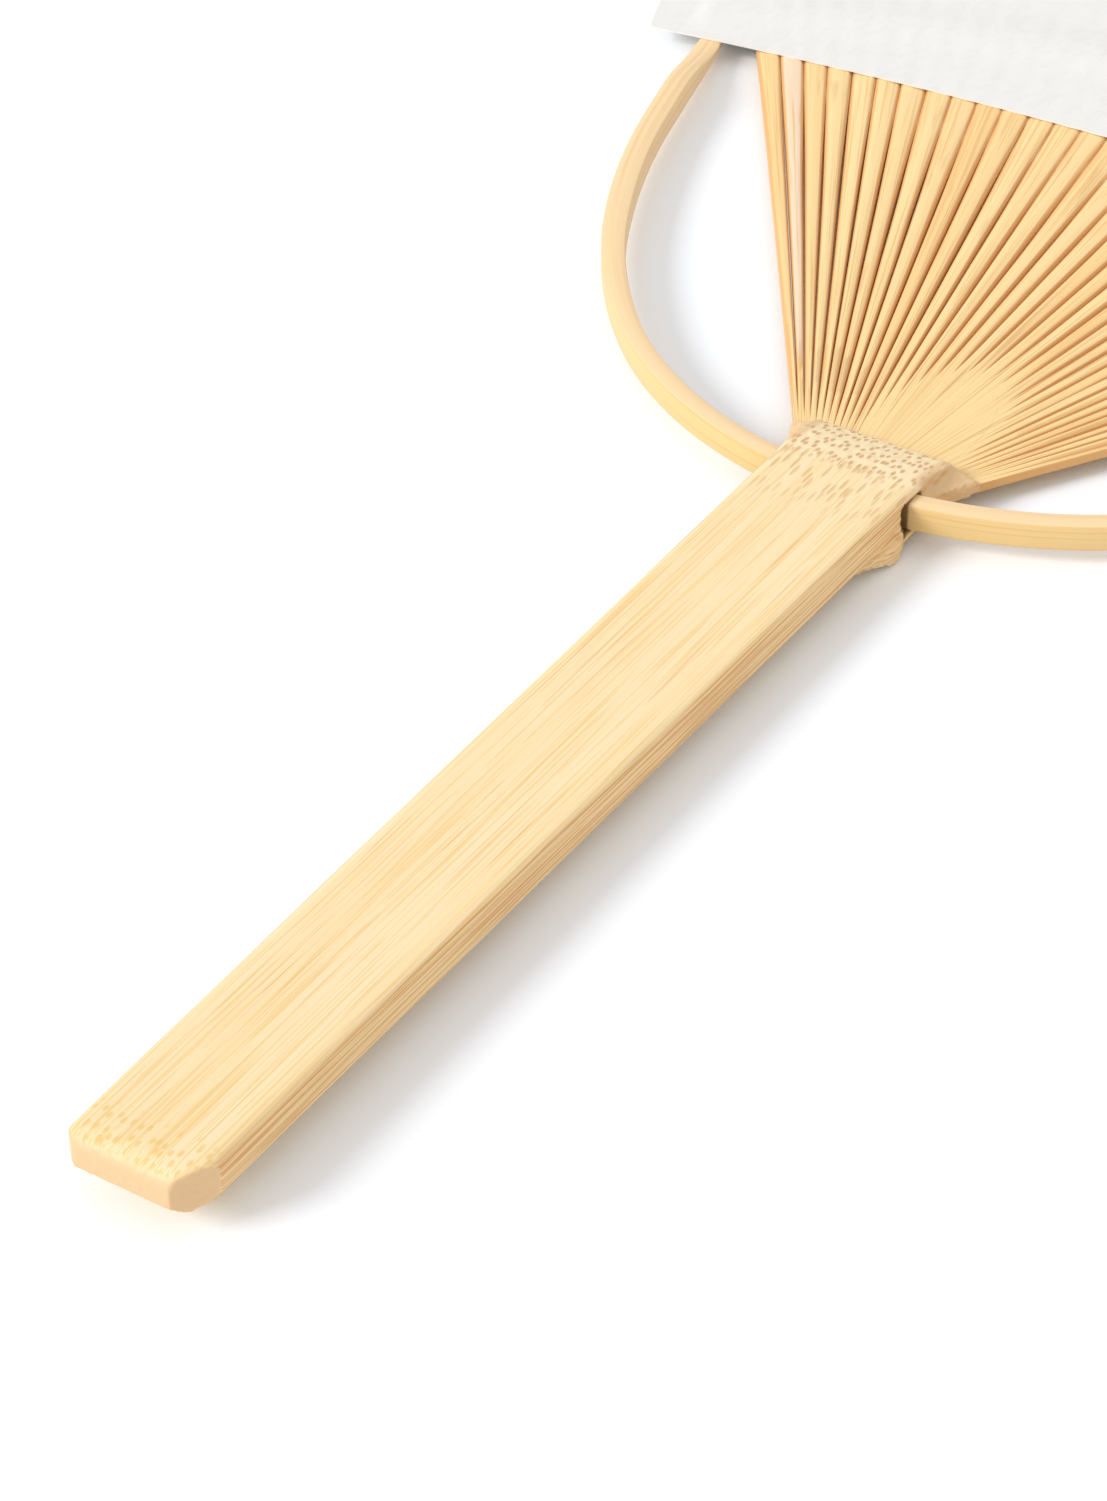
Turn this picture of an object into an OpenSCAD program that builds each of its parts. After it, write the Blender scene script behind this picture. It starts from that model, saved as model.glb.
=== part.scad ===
// Round paper fan on a split bamboo handle, in millimetres.
// The fan lies flat: X runs across it, Y from the butt of the handle to the leaf, Z up.
// The origin is under the middle of the whole fan, level with the node ridge that it rests on.

/* [Handle] */
// Length of the handle from its butt to the middle of the bow's slot
grip_len = 144.2; // [110:0.5:180]
// Width of the handle at its butt
butt_w = 16.4; // [13:0.1:19]
// Width of the handle at the bow's slot
head_w = 19.2; // [17:0.1:22]
// Thickness of the flat grip
grip_t = 5.4; // [5.2:0.1:7]
// Depth of the node ridge below the grip
ridge_drop = 2; // [1.2:0.1:3]
// Distance of the node ridge from the bow's slot
ridge_back = 4.2; // [4:0.1:8]
// Length of the node ridge's flat face
ridge_flat = 1.8; // [1:0.1:3]
// Length of the hollow that runs from the grip down to the node ridge
ridge_run = 10; // [6:0.5:30]
// Width that the node ridge stands out on each side of the handle
ridge_flare = 0.9; // [0:0.1:1.5]
// Radius of the grip's upper edges
top_edge_r = 1.2; // [0.4:0.1:2]
// Radius of the grip's lower edges
low_edge_r = 1.8; // [0.4:0.1:2.4]
// Corner cut off the butt on the right, in plan
butt_cut_right = 2.8; // [0.5:0.1:5]
// Length of that cut along the grip
butt_cut_right_len = 5; // [1:0.1:8]
// Corner cut off the butt on the left, in plan
butt_cut_left = 1.5; // [0.5:0.1:5]
// Length over which the butt's upper edge is rounded down
butt_round = 3.4; // [1:0.1:6]
// Depth by which the butt's upper edge is rounded down
butt_fall = 1.4; // [0.5:0.1:2.5]
// Height of the slope cut under the butt's end
butt_low_rise = 1.3; // [0.5:0.1:3]
// Length of that slope
butt_low_len = 1.7; // [0.5:0.1:6]
// Length of the head past the middle of the bow's slot
head_len = 11.2; // [9:0.1:16]
// Fall of the upper face towards the end of the head
head_fall = 1.9; // [0.5:0.1:2.4]
// Height of the shoulders' outer edge above the root plate
shoulder_edge = 0.4; // [0.2:0.1:1]
// Wall above the bow's slot
roof_t = 1.1; // [0.8:0.05:1.3]

/* [Bow] */
// Width of the bow strip, seen from above
bow_t = 2.9; // [2:0.1:3.6]
// Height of the bow strip
bow_h = 3.75; // [2.8:0.05:4]
// Width of the bow's shaved ends
bow_tip_t = 2.2; // [1.4:0.1:2.6]
// Length over which the bow's ends are shaved down
shave_len = 7; // [6:0.5:18]
// Bare length of the shaved end outside the leaf
shave_out = 1; // [1:0.5:6]
// Direction of the bow at the end of its first bend
bend_1_to = 46; // [36:1:54]
// Radius of the second bend
bend_2_r = 86; // [70:1:100]
// Direction of the bow at the end of its second bend
bend_2_to = 64; // [58:1:70]
// Radius of the third bend
bend_3_r = 145; // [110:1:170]
// Direction of the bow's straight ends
bow_end_angle = 75.5; // [72:0.5:80]
// Room between the outermost rib and the bow, at the thread
bow_room = 3.2; // [2:0.1:5]
// Length of the bow past the thread
bow_past_thread = 6.5; // [3:0.5:8]
// Room above and below the bow in its slot
slot_room_z = 0.2; // [0.1:0.05:0.3]
// Room in front of and behind the bow in its slot
slot_room_y = 0.3; // [0.15:0.05:0.6]

/* [Ribs] */
// Number of ribs, an even number
rib_count = 34; // [26:2:38]
// Angle between the fan's two outermost slits
spread_angle = 66.3; // [58:0.1:68]
// Distance behind the bow's slot of the point that the ribs spread from
spread_back = 8.8; // [4:0.1:12]
// Width of a rib at the leaf, measured across the fan
rib_w = 2.9; // [2.2:0.05:3]
// Thickness of a rib
rib_t = 1.2; // [0.9:0.05:1.3]
// Share of the rib spacing that a slit takes at the roots
root_gap = 0.16; // [0.1:0.01:0.4]
// Length of the root plate past the head, where the ribs start
root_lip = 0.4; // [0.2:0.1:2]
// Extra length of the root plate's tongue, where the bamboo is split less far
tongue_len = 20; // [0:1:30]
// Half width of the tongue, in ribs
tongue_ribs = 8; // [4:1:12]
// Shift of the tongue to the right, in ribs
tongue_shift = 1.5; // [-3:0.5:3]

/* [Leaf] */
// Radius of the leaf's round rim
leaf_r = 90; // [88:0.5:105]
// Angle down from the leaf's middle to the point of the rim that is level with the lower edge's middle
corner_angle = 18.75; // [17:0.25:22]
// Distance from the bow's slot to the middle of the leaf's lower edge
leaf_edge = 96.5; // [88:0.5:110]
// Radius of the leaf's lower edge
edge_r = 548; // [300:1:900]
// Thickness of each paper
paper_t = 0.25; // [0.15:0.01:0.4]
// Width of the folded strip that binds the rim, on each face
binding_w = 3.5; // [2:0.1:5]
// Height above the leaf's lower corners where the binding starts
binding_up = 10; // [2:0.5:30]
// Thickness of the binding strip
binding_t = 0.2; // [0.1:0.01:0.3]
// Room for glue between papers, ribs and binding
glue_room = 0.05; // [0.02:0.01:0.1]

/* [Thread] */
// Thickness of the thread
thread_d = 0.4; // [0.3:0.05:0.5]
// Distance from the leaf's lower edge to the thread, in the middle
thread_in = 21.9; // [16:0.1:30]
// Radius of the arc that the thread follows
thread_r = 170; // [140:1:220]
// Room between the thread and what it passes over
thread_room = 0.05; // [0.02:0.01:0.1]
// Turns of thread round each end of the bow
tie_turns = 2; // [1:1:3]
// Spacing of those turns along the bow
tie_pitch = 0.5; // [0.45:0.05:0.7]

/* [Hidden] */
arc_fn = 180;
rim_fn = 720;
handle_rgb = [0.98, 0.87, 0.69];
rib_rgb = [0.97, 0.81, 0.55];
bow_rgb = [0.90, 0.78, 0.47];
paper_rgb = [0.96, 0.955, 0.945];
thread_rgb = [0.92, 0.90, 0.84];

function rib_name(i) = str("rib_", i < 9 ? "0" : "", i + 1);

// Levels: the grip's two faces, and the layer that ribs and bow ends share
grip_z = ridge_drop;
top_z = ridge_drop + grip_t;
leaf_z = top_z - roof_t - slot_room_z - bow_h;
leaf_top_z = leaf_z + rib_t;
leaf_mid_z = leaf_z + rib_t / 2;

// Plan positions below are measured from the middle of the bow's slot
pitch_slope = tan(spread_angle / 2) * 2 / rib_count;
thread_mid = leaf_edge + thread_in;
thread_c = thread_mid - thread_r;
edge_c = leaf_edge - edge_r;

// Point where a line of slope m from (w, from_y) crosses the thread's arc
function thread_hit(m, from_y, w) =
    let (a = 1 + m * m, b = m * w + from_y - thread_c)
    let (c = w * w + pow(from_y - thread_c, 2) - thread_r * thread_r)
    let (t = (sqrt(b * b - a * c) - b) / a)
    [w + m * t, from_y + t];

// The bow's first radius follows from where its straight ends must pass the thread
rib_last = (rib_count - 1) / 2 * pitch_slope;
rib_side = thread_hit(rib_last, -spread_back, rib_w / 2);
tie_p = rib_side + [bow_room + bow_tip_t / 2, 0];
end_cot = 1 / tan(bow_end_angle);
function bend_step(r, a, b) = r * [sin(b) - sin(a), cos(a) - cos(b)];
function past_end_line(v) = v[0] - end_cot * v[1];
bend_1_unit = bend_step(1, 0, bend_1_to);
bend_2_step = bend_step(bend_2_r, bend_1_to, bend_2_to);
bend_3_step = bend_step(bend_3_r, bend_2_to, bow_end_angle);
bend_1_r = past_end_line(tie_p - bend_2_step - bend_3_step) / past_end_line(bend_1_unit);
bend_1_p = bend_1_r * bend_1_unit;
bend_2_p = bend_1_p + bend_2_step;
bend_3_p = bend_2_p + bend_3_step;
bow_dir = [cos(bow_end_angle), sin(bow_end_angle)];
function end_at(y) = bend_3_p + bow_dir * (y - bend_3_p[1]) / bow_dir[1];
function edge_y(x) = edge_c + sqrt(edge_r * edge_r - x * x);
tie_on_bow = thread_hit(end_cot, bend_3_p[1], bend_3_p[0]);
bow_in = edge_y(tie_on_bow[0]);
shave_to = bow_in - shave_out;
shave_from = shave_to - shave_len;
bow_tip = tie_on_bow + bow_dir * bow_past_thread;

leaf_mid = leaf_edge + leaf_r * sin(corner_angle);
leaf_top = leaf_mid + leaf_r;
fan_top = leaf_top + glue_room + binding_t;
slot_y = (grip_len - fan_top) / 2;

module at_slot(z = 0) translate([0, slot_y, z]) children();

// Handle

function half_w(y) = head_w / 2 + (head_w - butt_w) / 2 * y / grip_len;
ridge_from = -ridge_back - ridge_flat / 2;
ridge_to = -ridge_back + ridge_flat / 2;
root_y0 = head_len + root_lip;
slot_sag = bend_1_r - sqrt(bend_1_r * bend_1_r - head_w * head_w / 4);
slot_front = bow_t / 2 + slot_sag + slot_room_y;
slot_back = bow_t / 2 + slot_room_y;
side_turn = atan((head_w - butt_w) / 2 / grip_len);
round_steps = 6;
// Ends of the ridge: its narrow neck towards the head, and its end under the head
neck_y = ridge_to + 1;
under_y = head_len - 1.5;

// Quarter wave from 0 to 1, for edges that fall away smoothly
function ease(t) = 1 - sqrt(1 - t * t);

module grip_plan() {
    butt_y = -grip_len;
    hw = half_w(butt_y);
    end_hw = half_w(head_len);
    polygon([
        [-hw, butt_y + butt_cut_left], [butt_cut_left - hw, butt_y],
        [hw - butt_cut_right, butt_y], [hw, butt_y + butt_cut_right_len],
        [end_hw, head_len], [-end_hw, head_len]
    ]);
}

// Side view of the grip and head: Y to the right, Z up
module grip_profile() {
    end_lean = 0.35;
    under_head = 2;
    polygon(concat(
        [for (i = [0:round_steps])
            let (t = i / round_steps)
            [-grip_len + butt_round * t, top_z - butt_fall * ease(1 - t)]],
        [for (i = [0:round_steps])
            let (t = i / round_steps)
            [(head_len - end_lean) * t, top_z - head_fall * t * t]],
        [[head_len, leaf_top_z], [head_len, leaf_z], [head_len - under_head, min(leaf_z, grip_z)],
        [0, grip_z], [butt_low_len - grip_len, grip_z], [-grip_len, grip_z + butt_low_rise]]
    ));
}

// Cross-section of one side of the grip: its side face is on x = 0
module side_section() {
    reach = head_w + ridge_drop;
    over = 1;
    difference() {
        translate([-reach, grip_z]) square([reach, grip_t]);
        translate([-top_edge_r, top_z - top_edge_r])
            difference() {
                square(top_edge_r + over);
                circle(top_edge_r, $fn = arc_fn);
            }
        translate([-low_edge_r, grip_z - over])
            difference() {
                square([low_edge_r + over, low_edge_r + over]);
                translate([0, low_edge_r + over]) circle(low_edge_r, $fn = arc_fn);
            }
    }
}

module side_rail() {
    past = head_len * 2;
    translate([head_w / 2, 0, 0])
        rotate([0, 0, -side_turn])
            translate([0, past, 0])
                rotate([90, 0, 0])
                    linear_extrude(grip_len + past * 2) side_section();
}

module along_y(len) rotate([90, 0, 90]) translate([0, 0, -len / 2]) linear_extrude(len) children();

module grip_body() {
    intersection() {
        linear_extrude(top_z) grip_plan();
        along_y(head_w * 2) grip_profile();
        side_rail();
        mirror([1, 0, 0]) side_rail();
    }
}

// Node ridge under the head, seen from above, with its two flares
module ridge_plan() {
    run_hw = half_w(ridge_from - ridge_run) - low_edge_r;
    lip_hw = half_w(-ridge_back) + ridge_flare;
    neck_hw = half_w(0) + ridge_flare / 2;
    side = [
        [run_hw, ridge_from - ridge_run], [lip_hw, ridge_from], [lip_hw, ridge_to],
        [neck_hw, neck_y], [neck_hw, under_y]
    ];
    polygon(concat(side, [for (i = [len(side) - 1:-1:0]) [-side[i][0], side[i][1]]]));
}

module ridge_profile() {
    inside = leaf_z + rib_t / 2;
    plate_z = grip_z * 0.6;
    plate_slope = 1.5;
    lip_rise = 0.8;
    run_steps = 10;
    polygon(concat(
        [for (i = [0:run_steps])
            let (t = i / run_steps)
            [ridge_from - ridge_run * (1 - t), grip_z * (1 - t * t)]],
        [[ridge_to, 0], [ridge_to + lip_rise, plate_z], [under_y - plate_slope, plate_z],
        [under_y, leaf_z], [under_y, inside], [ridge_from - ridge_run, inside]]
    ));
}

module ridge_body() {
    intersection() {
        linear_extrude(leaf_z + rib_t) ridge_plan();
        along_y(head_w * 2) ridge_profile();
    }
}

// Ribs: slit line k lies k ribs from the fan's left side, and the root plate ends on a curve
function slit_x(k, y) = (k - rib_count / 2) * pitch_slope * (y + spread_back);
function root_y(k) =
    let (u = (k - rib_count / 2 - tongue_shift) / tongue_ribs)
    root_y0 + tongue_len * max(0, 1 - u * u);
function root_p(k) = [slit_x(k, root_y(k)), root_y(k)];

module root_plate() {
    shoulder_y = head_len * 0.75;
    plate_hw = half_w(0) + ridge_flare / 2;
    linear_extrude(rib_t)
        polygon(concat(
            [[-slit_x(rib_count, shoulder_y), shoulder_y], [-plate_hw, neck_y]],
            [[plate_hw, neck_y], [slit_x(rib_count, shoulder_y), shoulder_y]],
            [for (k = [rib_count:-1:0]) root_p(k)]
        ));
}

// Sloping shoulders between the head's sides and the root plate
module shoulders() {
    inset = 1;
    drop = 0.2;
    top_hw = half_w(0) - inset;
    low_hw = slit_x(rib_count, root_y0);
    low_z = leaf_top_z + shoulder_edge;
    high_z = top_z - head_fall - drop;
    intersection() {
        linear_extrude(top_z)
            polygon([
                [-half_w(0), slot_front], [half_w(0), slot_front],
                [low_hw, head_len], [-low_hw, head_len]
            ]);
        translate([0, head_len, 0])
            rotate([90, 0, 0])
                linear_extrude(head_len - slot_front)
                    polygon([
                        [-low_hw, leaf_z], [low_hw, leaf_z], [low_hw, low_z],
                        [top_hw, high_z], [-top_hw, high_z], [-low_hw, low_z]
                    ]);
    }
}

module bow_slot() {
    translate([-head_w, -slot_back, leaf_z - slot_room_z])
        cube([head_w * 2, slot_front + slot_back, bow_h + 2 * slot_room_z]);
}

module handle() {
    color(handle_rgb)
        at_slot()
            difference() {
                union() {
                    grip_body();
                    ridge_body();
                    shoulders();
                    translate([0, 0, leaf_z]) root_plate();
                }
                bow_slot();
            }
}

module rib(i) {
    slope = (i + 0.5 - rib_count / 2) * pitch_slope;
    past_rim = leaf_top + 5;
    left_root = root_p(i) + (root_p(i + 1) - root_p(i)) * root_gap / 2;
    right_root = root_p(i + 1) + (root_p(i) - root_p(i + 1)) * root_gap / 2;
    x_in = slope * (leaf_edge + spread_back);
    x_out = slope * (past_rim + spread_back);
    color(rib_rgb)
        at_slot(leaf_z)
            intersection() {
                linear_extrude(rib_t)
                    polygon([
                        left_root, right_root, [x_in + rib_w / 2, leaf_edge],
                        [x_out + rib_w / 2, past_rim], [x_out - rib_w / 2, past_rim],
                        [x_in - rib_w / 2, leaf_edge]
                    ]);
                union() {
                    translate([0, leaf_mid, -1]) cylinder(r = leaf_r, h = rib_t + 2, $fn = rim_fn);
                    translate([-leaf_r, 0, -1]) cube([leaf_r * 2, leaf_mid, rib_t + 2]);
                }
            }
}

// Bow

// Points of the bow's middle line on the right: x, y and width
function bend_points(p, r, a, b, n) =
    [for (i = [1:n])
        let (h = a + (b - a) * i / n)
        let (q = p + bend_step(r, a, h))
        [q[0], q[1], h, bow_t]];
function end_point(y, w) = [end_at(y)[0], y, bow_end_angle, w];
bow_line = concat(
    [[0, 0, 0, bow_t]],
    bend_points([0, 0], bend_1_r, 0, bend_1_to, 12),
    bend_points(bend_1_p, bend_2_r, bend_1_to, bend_2_to, 5),
    bend_points(bend_2_p, bend_3_r, bend_2_to, bow_end_angle, 4),
    [end_point(shave_from, bow_t), end_point(shave_to, bow_tip_t), end_point(bow_tip[1], bow_tip_t)]
);
// Edge point of the bow: side is 1 on the leaf's side and -1 on the outer side
function bow_side(p, side) = [p[0] - side * p[3] / 2 * sin(p[2]), p[1] + side * p[3] / 2 * cos(p[2])];
function left_of(p) = [-p[0], p[1]];

module bow_plan() {
    last = len(bow_line) - 1;
    polygon(concat(
        [for (i = [last:-1:1]) left_of(bow_side(bow_line[i], -1))],
        [for (i = [0:last]) bow_side(bow_line[i], -1)],
        [for (i = [last:-1:0]) bow_side(bow_line[i], 1)],
        [for (i = [1:last]) left_of(bow_side(bow_line[i], 1))]
    ));
}

module bow_profile() {
    past = 5;
    low_y = -bow_t - past;
    high_y = bow_tip[1] + past;
    polygon([
        [low_y, leaf_z], [high_y, leaf_z], [high_y, leaf_top_z],
        [shave_to, leaf_top_z], [shave_from, leaf_z + bow_h], [low_y, leaf_z + bow_h]
    ]);
}

module bow() {
    color(bow_rgb)
        at_slot()
            intersection() {
                linear_extrude(top_z) bow_plan();
                along_y(leaf_r * 4) bow_profile();
            }
}

// Thread: one unbroken strand, wound on the bow's left end, woven through the ribs, wound on the right end

thread_sides = 6;
over_z = rib_t / 2 + thread_room + thread_d / 2;
clear_w = rib_w / 2 + thread_d / 4;
function over_sign(i) = i % 2 == 0 ? 1 : -1;
// Each stop is a point and the direction across the thread that lies in the leaf's plane
function weave_stop(i, side) =
    let (p = thread_hit((i + 0.5 - rib_count / 2) * pitch_slope, -spread_back, side * clear_w))
    let (n = [p[0], p[1] - thread_c] / thread_r)
    [[p[0], p[1], over_sign(i) * over_z], [n[0], n[1], 0]];
tie_half_w = bow_tip_t / 2 + thread_room + thread_d / 2;
tie_corners = [[-1, 1], [1, 1], [1, -1], [-1, -1]];
// Stops of the winding on the right end, in order away from the ribs
function tie_stop(j) =
    let (c = tie_corners[j % 4])
    let (along = (j / 4 - tie_turns / 2) * tie_pitch)
    let (p = tie_on_bow + bow_dir * along + c[0] * tie_half_w * [bow_dir[1], -bow_dir[0]])
    [[p[0], p[1], c[1] * over_sign(rib_count - 1) * over_z], [bow_dir[0], bow_dir[1], 0]];
right_tie = [for (j = [0:4 * tie_turns]) tie_stop(j)];
function mirrored(s) = [[-s[0][0], s[0][1], -s[0][2]], [-s[1][0], s[1][1], 0]];
thread_stops = concat(
    [for (j = [len(right_tie) - 1:-1:0]) mirrored(right_tie[j])],
    [for (i = [0:rib_count - 1]) for (side = [-1, 1]) weave_stop(i, side)],
    right_tie
);

function unit(v) = v / norm(v);
// Ring of points round stop k, widened at a bend so that the strand keeps its thickness
function thread_ring(k) =
    let (last = len(thread_stops) - 1, s = thread_stops[k])
    let (before = unit(s[0] - thread_stops[max(k - 1, 0)][0] + (k == 0 ? [1e-6, 0, 0] : [0, 0, 0])))
    let (after = unit(thread_stops[min(k + 1, last)][0] - s[0] + (k == last ? [1e-6, 0, 0] : [0, 0, 0])))
    let (t0 = k == 0 ? after : before, t1 = k == last ? before : after)
    let (t = unit(t0 + t1), b = unit(cross(t, s[1])), n = unit(cross(b, t)))
    let (widen = 1 / (t * t1))
    [for (j = [0:thread_sides - 1])
        let (a = 360 * j / thread_sides)
        s[0] + thread_d / 2 * (cos(a) * n + widen * sin(a) * b)];

module weaving_thread() {
    rings = len(thread_stops);
    n = thread_sides;
    points = [for (k = [0:rings - 1]) each thread_ring(k)];
    sides = [for (k = [0:rings - 2]) for (j = [0:n - 1])
        let (a = k * n + j, b = k * n + (j + 1) % n)
        each [[a, b, b + n], [a, b + n, a + n]]];
    first_cap = [for (j = [1:n - 2]) [0, j + 1, j]];
    last_cap = [for (j = [1:n - 2]) [(rings - 1) * n, (rings - 1) * n + j, (rings - 1) * n + j + 1]];
    color(thread_rgb)
        at_slot(leaf_mid_z)
            polyhedron(points = points, faces = concat(sides, first_cap, last_cap));
}

// Papers: the leaf's outline, raised in a bead where the thread crosses

bead_h = thread_d + 2 * thread_room - glue_room;
bead_play = 0.8;
bead_past = 1;
bead_w = tie_turns * tie_pitch + thread_d + bead_play;
bead_turn = atan(bow_tip[0] / (bow_tip[1] - thread_c)) + bead_past;

module leaf_lower_cut(h, up = 0) {
    translate([0, edge_c + up, -h]) cylinder(r = edge_r, h = 3 * h, $fn = rim_fn * 2);
}

module leaf_sheet(h) {
    difference() {
        translate([0, leaf_mid, 0]) cylinder(r = leaf_r, h = h, $fn = rim_fn);
        leaf_lower_cut(h);
    }
}

// Ring sector along the thread: flat top of width w at height h, with sloping sides
module thread_bead(w, h, low) {
    slope = h - low;
    translate([0, thread_c, 0])
        rotate([0, 0, 90 - bead_turn])
            rotate_extrude(angle = 2 * bead_turn, $fn = rim_fn)
                polygon([
                    [thread_r - w / 2 - slope, low], [thread_r - w / 2, h],
                    [thread_r + w / 2, h], [thread_r + w / 2 + slope, low]
                ]);
}

// Paper that lies on z = 0, with its bead upwards
module leaf_paper() {
    color(paper_rgb)
        difference() {
            union() {
                leaf_sheet(paper_t);
                thread_bead(bead_w + paper_t, bead_h + paper_t, paper_t / 2);
            }
            thread_bead(bead_w, bead_h, -paper_t);
        }
}

module front_paper() {
    at_slot(leaf_top_z + glue_room) leaf_paper();
}

module back_paper() {
    at_slot(leaf_z - glue_room) mirror([0, 0, 1]) leaf_paper();
}

// Binding: a strip folded round the rim, shown as a channel that runs round to both corners
module edge_binding() {
    in_z = rib_t / 2 + 2 * glue_room + paper_t;
    out_z = in_z + binding_t;
    in_r = leaf_r + glue_room;
    out_r = in_r + binding_t;
    lip_r = leaf_r - binding_w;
    color(paper_rgb)
        at_slot(leaf_mid_z)
            difference() {
                translate([0, leaf_mid, 0])
                    rotate_extrude($fn = rim_fn)
                        polygon([
                            [lip_r, -out_z], [out_r, -out_z], [out_r, out_z], [lip_r, out_z],
                            [lip_r, in_z], [in_r, in_z], [in_r, -in_z], [lip_r, -in_z]
                        ]);
                leaf_lower_cut(out_z * 2, binding_up);
            }
}

handle();
bow();
for (i = [0:rib_count - 1]) rib(i);
weaving_thread();
front_paper();
back_paper();
edge_binding();
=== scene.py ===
import bpy
import math
import random
from mathutils import Matrix, Vector, noise


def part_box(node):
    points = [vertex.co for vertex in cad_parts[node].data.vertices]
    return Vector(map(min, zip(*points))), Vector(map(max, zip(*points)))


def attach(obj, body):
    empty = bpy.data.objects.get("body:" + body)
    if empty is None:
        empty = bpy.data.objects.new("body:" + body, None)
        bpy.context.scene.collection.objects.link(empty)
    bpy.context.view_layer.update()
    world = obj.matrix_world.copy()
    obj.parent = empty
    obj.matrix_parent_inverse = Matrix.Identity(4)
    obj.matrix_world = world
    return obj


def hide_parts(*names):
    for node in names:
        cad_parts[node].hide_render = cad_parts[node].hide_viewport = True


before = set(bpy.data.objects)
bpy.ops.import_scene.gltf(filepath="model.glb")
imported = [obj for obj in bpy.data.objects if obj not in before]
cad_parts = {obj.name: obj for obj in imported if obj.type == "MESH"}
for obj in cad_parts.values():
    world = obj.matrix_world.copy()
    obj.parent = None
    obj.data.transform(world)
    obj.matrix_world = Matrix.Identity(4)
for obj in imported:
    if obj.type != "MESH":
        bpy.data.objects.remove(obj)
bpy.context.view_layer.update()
mm = 0.001

# sizes that several pieces share, in millimetres, measured from the middle of the bow's slot
fan = {
    "ribCount": 34, "spreadAngle": 66.3, "spreadBack": 8.8, "ribWidth": 2.9,
    "ribFloor": 2.35, "ribTop": 3.55, "headLength": 11.2, "rootLip": 0.4,
    "tongueLength": 20, "tongueRibs": 8, "tongueShift": 1.5, "rootGap": 0.19,
    "leafEdge": 96.5, "edgeRadius": 548, "leafRadius": 90, "ribInset": 0.1, "rimFold": 0.25,
    "threadRadius": 170, "threadMiddle": 118.4, "threadThickness": 0.4,
    "bowWidth": 2.9, "bowHeight": 3.75,
}
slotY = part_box("bow")[0][1] / mm + fan["bowWidth"] / 2  # the frame's y of the slot's middle
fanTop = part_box("edge_binding")[1][1] / mm - slotY
leafMiddle = fanTop - fan["rimFold"] - fan["leafRadius"]
ribMiddle = (fan["ribFloor"] + fan["ribTop"]) / 2
ribThick = fan["ribTop"] - fan["ribFloor"]
pitchSlope = math.tan(math.radians(fan["spreadAngle"] / 2)) * 2 / fan["ribCount"]
threadCentre = fan["threadMiddle"] - fan["threadRadius"]
random.seed(11)


def atSlot(x, y, z):
    return Vector((x * mm, (y + slotY) * mm, z * mm))


def pickOnly(*pieces):
    bpy.ops.object.select_all(action="DESELECT")
    for piece in pieces:
        piece.select_set(True)
    bpy.context.view_layer.objects.active = pieces[-1]


def newPiece(name):
    piece = bpy.context.object
    piece.name = name
    piece.data.name = name
    return piece


def applyModifier(piece, kind, **settings):
    pickOnly(piece)
    modifier = piece.modifiers.new(kind.lower(), kind)
    for key, value in settings.items():
        setattr(modifier, key, value)
    bpy.ops.object.modifier_apply(modifier=modifier.name)


def smoothStep(value, low, high):
    t = min(max((value - low) / (high - low), 0), 1)
    return t * t * (3 - 2 * t)


# the last touches of a piece: smooth up to an angle in degrees, its body and its node
def putDown(piece, node, angle):
    pickOnly(piece)
    bpy.ops.object.shade_smooth_by_angle(angle=math.radians(angle))
    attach(piece, "root")
    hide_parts(node)


# node helpers for the materials
def linear(tone):
    shares = [c / 255 for c in tone]
    return [c / 12.92 if c <= 0.04045 else ((c + 0.055) / 1.055) ** 2.4 for c in shares] + [1]


def put(tree, kind, values=None, **settings):
    node = tree.nodes.new(kind)
    for key, value in settings.items():
        setattr(node, key, value)
    for key, value in (values or {}).items():
        if isinstance(value, bpy.types.NodeSocket):
            tree.links.new(value, node.inputs[key])
        else:
            node.inputs[key].default_value = value
    return node


def calc(tree, operation, first, second=0.0):
    return put(tree, "ShaderNodeMath", {0: first, 1: second}, operation=operation).outputs[0]


def times(tree, product, *others):
    for other in others:
        product = calc(tree, "MULTIPLY", product, other)
    return product


def absolute(tree, value):
    return calc(tree, "ABSOLUTE", value)


# 0 at low and before it, 1 at high and past it, also where high is the smaller one
def fade(tree, value, low, high):
    if low > high:
        return calc(tree, "SUBTRACT", 1.0, fade(tree, value, high, low))
    values = {"Value": value, "From Min": low, "From Max": high}
    return put(tree, "ShaderNodeMapRange", values, interpolation_type="SMOOTHSTEP").outputs[0]


def blend(tree, factor, first, second):
    return put(tree, "ShaderNodeMix", {0: factor, 6: first, 7: second}, data_type="RGBA").outputs[2]


# a tone laid over a colour where the mask is, as strongly as the share says
def paint(tree, color, tone, mask, share=1.0):
    return blend(tree, times(tree, mask, share), color, linear(tone))


def stretch(tree, vector, scale, shift=(0, 0, 0)):
    return put(tree, "ShaderNodeMapping", {"Vector": vector, "Scale": scale, "Location": shift}).outputs[0]


def cloud(tree, vector, detail=2.0, rough=0.5):
    values = {"Vector": vector, "Scale": 1.0, "Detail": detail, "Roughness": rough}
    return put(tree, "ShaderNodeTexNoise", values).outputs[0]


# dots of cut bamboo bundles: how much each point is inside a dot
def dots(tree, vector, radius, share):
    values = {"Vector": vector, "Scale": 1.0, "Randomness": 0.85}
    cells = put(tree, "ShaderNodeTexVoronoi", values, voronoi_dimensions="2D").outputs
    chance = put(tree, "ShaderNodeSeparateColor", {0: cells["Color"]}).outputs[0]
    kept = fade(tree, chance, 1 - share, 1.05 - share)
    return times(tree, fade(tree, cells["Distance"], radius, radius * 0.45), kept)


def axesOf(tree, vector):
    return put(tree, "ShaderNodeSeparateXYZ", {0: vector}).outputs


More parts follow.
